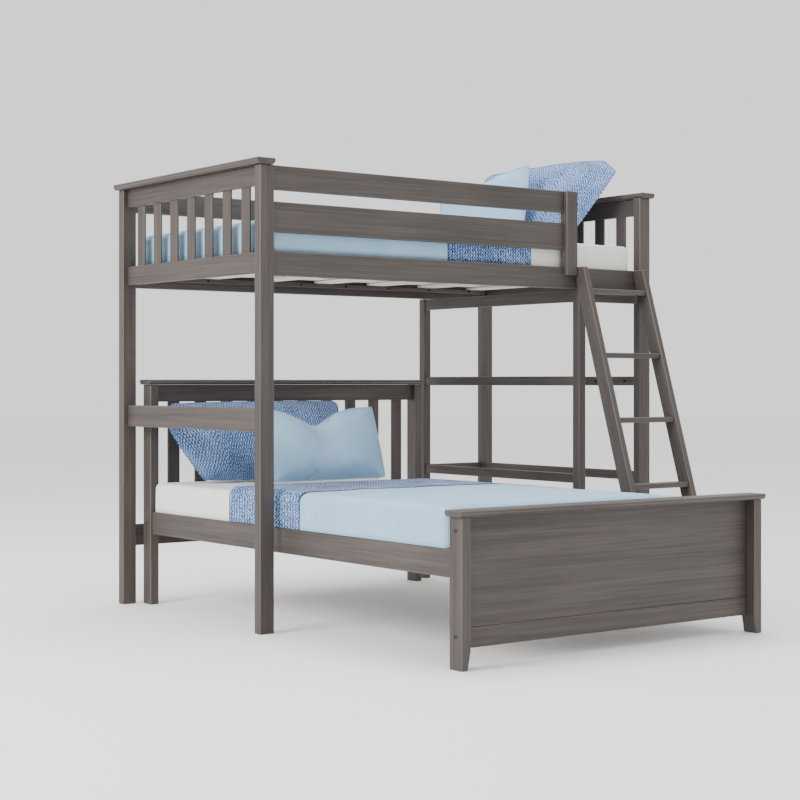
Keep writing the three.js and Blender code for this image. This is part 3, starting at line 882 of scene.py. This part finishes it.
def envelope(width, height, seed):
    """Two flat layers of cloth that share their border.

    The attribute "cloth" lays them in the plane of x and z, like the sides of the throws.
    """
    columns, rows = round(width / PILLOW_STEP), round(height / PILLOW_STEP)
    bm = bmesh.new()
    cloth = bm.verts.layers.float_vector.new("cloth")
    layers = []
    for side in (1, -1):
        grid = []
        for i in range(columns + 1):
            line = []
            for j in range(rows + 1):
                border = i in (0, columns) or j in (0, rows)
                if side < 0 and border:
                    line.append(layers[0][i][j])
                    continue
                place = Vector((width * (i / columns - 0.5), height * (j / rows - 0.5), 0))
                wobble = noise.noise(place * 14 + Vector((seed, 0, side)))
                lift = 0 if border else side * (0.006 + 0.003 * wobble)
                vert = bm.verts.new(place + Vector((0, 0, lift)))
                vert[cloth] = Vector((place.x, 0, place.y))
                line.append(vert)
            grid.append(line)
        layers.append(grid)
        for i in range(columns):
            for j in range(rows):
                corners = [grid[i][j], grid[i + 1][j], grid[i + 1][j + 1], grid[i][j + 1]]
                face = bm.faces.new(corners if side > 0 else corners[::-1])
                face.smooth = True
    grid = layers[0]
    border = [grid[i][0] for i in range(columns)]
    border += [grid[columns][j] for j in range(rows)]
    border += [grid[i][rows] for i in range(columns, 0, -1)]
    border += [grid[0][j] for j in range(rows, 0, -1)]
    return bm, layers, border


def inflate(bm):
    """Blows the envelope up as cloth and moves its points to where they end."""
    mesh = bpy.data.meshes.new("envelope")
    bm.to_mesh(mesh)
    bag = bpy.data.objects.new("envelope", mesh)
    scene.collection.objects.link(bag)
    cloth = bag.modifiers.new("cloth", "CLOTH")
    for setting, value in PILLOW_CLOTH.items():
        setattr(cloth.settings, setting, value)
    cloth.settings.effector_weights.gravity = 0
    cloth.collision_settings.use_collision = False
    cloth.point_cache.frame_start = 1
    cloth.point_cache.frame_end = PILLOW_FRAMES
    for step in range(1, PILLOW_FRAMES + 1):
        scene.frame_set(step)
    made = bag.evaluated_get(bpy.context.evaluated_depsgraph_get()).to_mesh()
    places = [vert.co.copy() for vert in made.vertices]
    bpy.data.objects.remove(bag)
    bpy.data.meshes.remove(mesh)
    scene.frame_set(1)
    for vert, place in zip(bm.verts, places):
        vert.co = place


def outline(a, b, pinch, cuts, dip, droop):
    """Where a point of a square pillow goes.

    Its foot is narrower, its top corners are cut, and its top edge dips and droops at one end.
    """
    lifted = max(0.0, 1 + b) / 2
    lowered = max(0.0, 1 - lifted)
    cut = cuts[0] if a < 0 else cuts[1]
    wide = 1 - pinch * lowered**TAPER_POWER - max(0.0, cut - CUT_STEEPNESS * lowered)
    tall = 1 - 1.5 * cut * cut * a * a
    fall = dip * math.exp(-(abs((a + 0.12) / 0.40) ** 1.5)) + droop * (1 - a) / 2
    return a * wide, b * tall - fall * lifted * lifted


def held_in(place):
    """Folds that stand out past the seam keep only a little of their reach."""
    past = max(0.0, abs(place) - 1)
    return place - math.copysign((1 - FOLD_REACH) * past, place)


def reshape(layers, size, shape):
    """Sets the border of the swollen envelope on its outline; the rest follows in proportion."""
    places = []
    for grid in layers:
        for line in grid:
            for j, vert in enumerate(line):
                left, right = grid[0][j].co.x, grid[-1][j].co.x
                foot, head = line[0].co.y, line[-1].co.y
                a = held_in(2 * (vert.co.x - left) / (right - left) - 1)
                b = held_in(2 * (vert.co.y - foot) / (head - foot) - 1)
                places.append((vert, a, b))
    levels = [vert.co.z for vert, _, _ in places]
    thick = max(levels) - min(levels)
    dip = shape[2]
    for vert, a, b in places:
        pressed = dip * (1 + b) / 2 * math.exp(-((a / 0.3) ** 2))
        rim = min(1.0, max(abs(a), abs(b)))
        flat_a, flat_b = outline(a, b, *shape)
        level = vert.co.z * size[2] / thick * (1 - pressed) * (1 - SEAM_FLAT * rim**8)
        vert.co = Vector((flat_a * size[0] / 2, flat_b * size[1] / 2, level))


def pillow(node, material, slot, rests_on, shape, slump, seed):
    middle, size, (wide, up, out) = pillow_axes(node)
    bm, layers, border = envelope(size[0] * ENVELOPE_WIDER, size[1] * ENVELOPE_TALLER, seed)
    inflate(bm)
    reshape(layers, size, shape)
    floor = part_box(rests_on)[1].z + 0.001
    for vert in bm.verts:
        share = vert.co.y / size[1] + 0.5
        bow = slump * 4 * share * (1 - share)
        vert.co = middle + wide * vert.co.x + up * vert.co.y + out * (vert.co.z + bow)
        above = vert.co.z - floor - PILLOW_SOFT
        if above < 0:
            vert.co.z = floor + PILLOW_SOFT * math.exp(above / PILLOW_SOFT)
    seam = [vert.co.copy() for vert in border]
    piece = as_piece(f"{node}_sewn", bm, material, [node])
    piece.modifiers.new("smooth", "SUBSURF").levels = 1
    cord(f"{node}_seam", seam, PILLOW_SEAM_RADIUS, material)


def make_pillows():
    """Each shape is a narrowing of the foot, the cuts of both top corners, a dip and a droop."""
    long_upper = (0.42, (0.08, 0.26), 0.0, 0.0)
    short_upper = (0.0, (0.0, 0.0), 0.20, 0.26)
    long_lower = (0.28, (0.15, 0.06), 0.0, 0.0)
    short_lower = (0.0, (0.0, 0.0), 0.52, 0.0)
    in_denim = (denim, "denim_cloth")
    in_blue = (blue, "blue_cloth")
    for node, cloth, rests_on, shape, slump, seed in (
        ("pillow_denim_upper", in_denim, "mattress_upper", long_upper, 0.010, 11),
        ("pillow_blue_upper", in_blue, "mattress_upper", short_upper, -0.006, 12),
        ("pillow_denim_lower", in_denim, "mattress_lower", long_lower, -0.008, 13),
        ("pillow_blue_lower", in_blue, "throw_lower", short_lower, 0.004, 14),
    ):
        pillow(node, *cloth, rests_on, shape, slump, seed)


# ---- fasteners ---------------------------------------------------------------------------------
def dome_head(bm, at, out, radius):
    """A low round screw or bolt head with a round socket."""
    first, second, third = grain_axes(out)
    rings = []
    for share, height in HEAD_PROFILE:
        ring = []
        for k in range(12 if share else 1):
            angle = 2 * math.pi * k / 12
            side = second * math.cos(angle) + third * math.sin(angle)
            ring.append(bm.verts.new(at + (side * share + first * height) * radius))
        rings.append(ring)
    for lower, upper in zip(rings, rings[1:]):
        for k in range(12):
            after = (k + 1) % 12
            if len(upper) == 1:
                bm.faces.new((lower[k], lower[after], upper[0]))
            else:
                bm.faces.new((lower[k], lower[after], upper[after], upper[k]))
    bm.faces.new(rings[0][::-1])


def heads(name, places, radius, material):
    """One piece of several heads; places are pairs of a point on a face and the way it looks."""
    bm = bmesh.new()
    for at, out in places:
        dome_head(bm, Vector(at), out, radius)
    bmesh.ops.recalc_face_normals(bm, faces=bm.faces)
    as_piece(name, bm, material)


def post_plugs(end, outward):
    """Places of the plugs on the outer faces of one side's lower bed posts."""
    places = []
    for post, levels in (("footboard_post", FOOT_BOLTS), ("headboard_post", HEAD_BOLTS)):
        low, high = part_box(f"{post}_{end}")
        face = low.x if end == "left" else high.x
        places += [((face, (low.y + high.y) / 2, level), outward) for level in levels]
    return places


def make_fasteners():
    ledge_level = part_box("bed_slats_upper")[0].z - LEDGE / 2
    low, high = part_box("bunk_side_rail_back")
    run = high.x - low.x - 2 * LEDGE_SCREW_INSET
    first = low.x + LEDGE_SCREW_INSET
    along = [first + run * i / (LEDGE_SCREWS - 1) for i in range(LEDGE_SCREWS)]
    ledge_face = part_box("bunk_side_rail_front")[1].y
    places = [((x, low.y, ledge_level), -Y) for x in along]
    places += [((x, ledge_face, ledge_level), Y) for x in along]
    heads("upper_ledge_screws", places, SCREW_RADIUS, black_steel)

    places = post_plugs("left", -X) + post_plugs("right", X)
    heads("lower_bed_plugs", places, PLUG_RADIUS, plug_wood)

    low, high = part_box("under_rail_right_mid")
    middle = (low.z + high.z) / 2
    places = [((low.x, low.y + reach, middle), -X) for reach in UNDER_RAIL_SCREWS]
    heads("under_rail_screws", places, BOLT_RADIUS, black_steel)

    low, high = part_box("guard_stile")
    centre = (low.x + high.x) / 2
    guard_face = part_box("guard_rail_front_top")[1].y
    levels = []
    for rail in ("guard_rail_front_top", "guard_rail_front_low"):
        rail_low, rail_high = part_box(rail)
        levels.append((guard_face, (rail_low.z + rail_high.z) / 2))
    levels.append((ledge_face - LEDGE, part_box("bunk_side_rail_front")[1].z - STILE_BOLT_DROP))
    places = []
    for face, level in levels:
        for step in (-STILE_BOLT_STEP, STILE_BOLT_STEP):
            places.append(((centre + step, face, level), Y))
    heads("guard_stile_bolts", places, BOLT_RADIUS, black_steel)


make_camera()
make_light()
make_floor()
make_frame()
make_ladder()
make_beds()
make_pillows()
make_fasteners()
